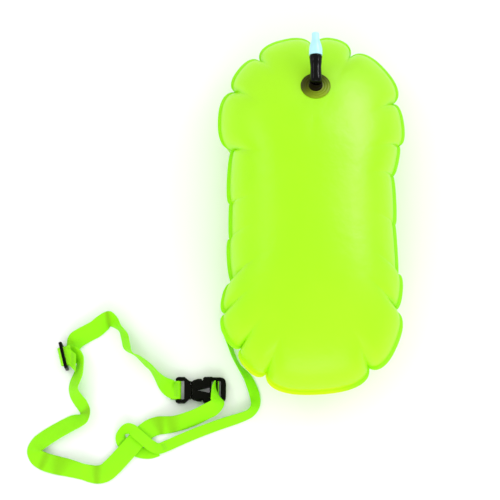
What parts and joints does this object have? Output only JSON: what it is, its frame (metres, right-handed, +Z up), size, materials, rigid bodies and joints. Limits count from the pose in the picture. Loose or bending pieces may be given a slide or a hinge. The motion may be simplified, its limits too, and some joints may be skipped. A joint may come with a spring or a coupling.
{
  "type": "open water swim buoy",
  "caption": "Inflated two-panel swim buoy with an oral inflation valve, a webbing tether and a waist belt closed by a side release buckle and a slider.",
  "frame": {"origin": "centre of the flat place on the underside on which the buoy lies on its back", "axes": "+Z up out of the front panel, +Y towards the end with the oral valve, +X to the right of someone who looks at the front panel with the valve up"},
  "size_m": [0.5161, 0.6158, 0.1599],
  "materials": {
    "pvc": "smooth fluorescent vinyl sheet",
    "pvc_back": "smooth fluorescent vinyl sheet",
    "webbing": "flat woven webbing",
    "thread": "polyester thread",
    "olive_pvc": "dark translucent welded disc",
    "hub_black": "satin",
    "rubber": "glossy soft tube",
    "mouthpiece_plastic": "pale blue semi-gloss",
    "seal_rubber": "ring seal",
    "black_plastic": "satin moulded acetal"
  },
  "bodies": {
    "buoy": {"front_panel": "pvc", "back_panel": "pvc_back", "valve_patch": "olive_pvc", "valve_hub": "hub_black", "anchor_patch": "pvc_back", "anchor_loop": "webbing", "tether_strap": "webbing", "tether_stitches": "thread", "belt_front_strand": "webbing", "belt_main_strand": "webbing", "belt_stitches": "thread", "buckle_socket": "black_plastic"},
    "stem": {"valve_stem": "rubber", "valve_core": "black_plastic"},
    "seal_lift": {"core_seal": "seal_rubber"},
    "mouth": {"mouthpiece": "mouthpiece_plastic"},
    "prong": {"buckle_prong": "black_plastic", "prong_stitches": "thread"},
    "arm_upper": {"buckle_arm_upper": "black_plastic"},
    "arm_lower": {"buckle_arm_lower": "black_plastic"},
    "slider": {"belt_slider": "black_plastic"}
  },
  "joints": [
    {"name": "stem_bend", "type": "hinge", "parent": "buoy", "child": "stem", "pos_m": [0.00405, 0.16954, 0.14938], "axis": [1, 0, 0], "range_deg": [0, 50], "stiffness_Nm_per_rad": 0.15},
    {"name": "mouthpiece_lift", "type": "slide", "parent": "stem", "child": "seal_lift", "axis": [0, 0.9994, 0.0349], "range_m": [0, 0.003]},
    {"name": "mouthpiece_turn", "type": "hinge", "parent": "seal_lift", "child": "mouth", "pos_m": [0.00405, 0.16954, 0.14938], "axis": [0, 0.9994, 0.0349], "range_deg": [0, 270]},
    {"name": "buckle_release", "type": "slide", "parent": "buoy", "child": "prong", "axis": [-1, 0, 0], "range_m": [0, 0.024], "deforming": ["belt_front_strand", "buckle_arm_upper", "buckle_arm_lower"]},
    {"name": "arm_squeeze_upper", "type": "hinge", "parent": "prong", "child": "arm_upper", "pos_m": [-0.164, -0.2199, 0.0058], "axis": [0, 0, -1], "range_deg": [0, 10], "stiffness_Nm_per_rad": 0.8},
    {"name": "arm_squeeze_lower", "type": "hinge", "parent": "prong", "child": "arm_lower", "pos_m": [-0.164, -0.2375, 0.0058], "axis": [0, 0, 1], "range_deg": [0, 10], "stiffness_Nm_per_rad": 0.8},
    {"name": "slider_tilt", "type": "hinge", "parent": "buoy", "child": "slider", "pos_m": [-0.34, -0.1828, 0.0123], "axis": [0.2504, -0.9681, 0], "range_deg": [-15, 15]}
  ],
  "couplings": [
    {"joint": "mouthpiece_lift", "follows": "mouthpiece_turn", "m_per_rad": 0.0006366},
    {"joint": "arm_squeeze_lower", "follows": "arm_squeeze_upper", "ratio": 1}
  ]
}
